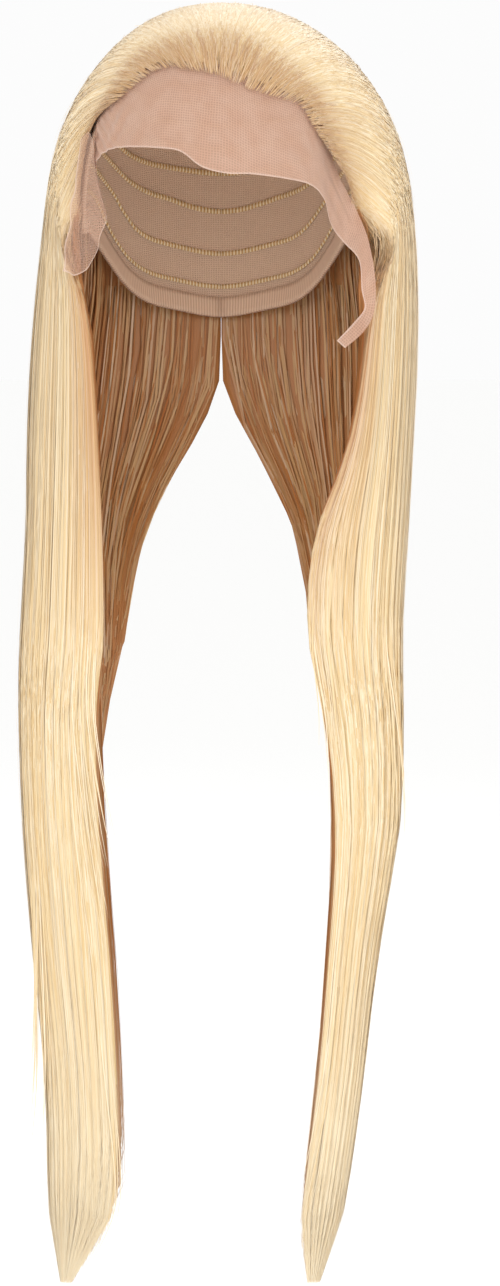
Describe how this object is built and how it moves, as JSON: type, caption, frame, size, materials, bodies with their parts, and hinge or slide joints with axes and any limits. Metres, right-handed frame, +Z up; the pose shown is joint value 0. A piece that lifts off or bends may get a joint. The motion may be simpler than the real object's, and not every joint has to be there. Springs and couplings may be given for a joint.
{
  "type": "lace front wig",
  "caption": "Long straight blonde wig: hair swept back from a sheer lace front on a thin cap, falling forward in two long tapering falls",
  "frame": {"origin": "the inside top of the cap, where the crown of the head bears", "axes": "+Z up, the open face looks to -Y, +X to the right of someone facing the wig"},
  "size_m": [0.22, 0.2042, 0.7032],
  "materials": {
    "hair": "fine straight blonde hair with a soft sheen, paler at the tips",
    "front_lace": "sheer pinkish beige hexagonal net",
    "cap_net": "matt beige stretch net"
  },
  "bodies": {
    "root": {"wig_cap": "cap_net", "lace_front": "front_lace", "hair_left_front": "hair", "hair_left_back": "hair", "hair_right_front": "hair", "hair_right_back": "hair"}
  },
  "joints": []
}
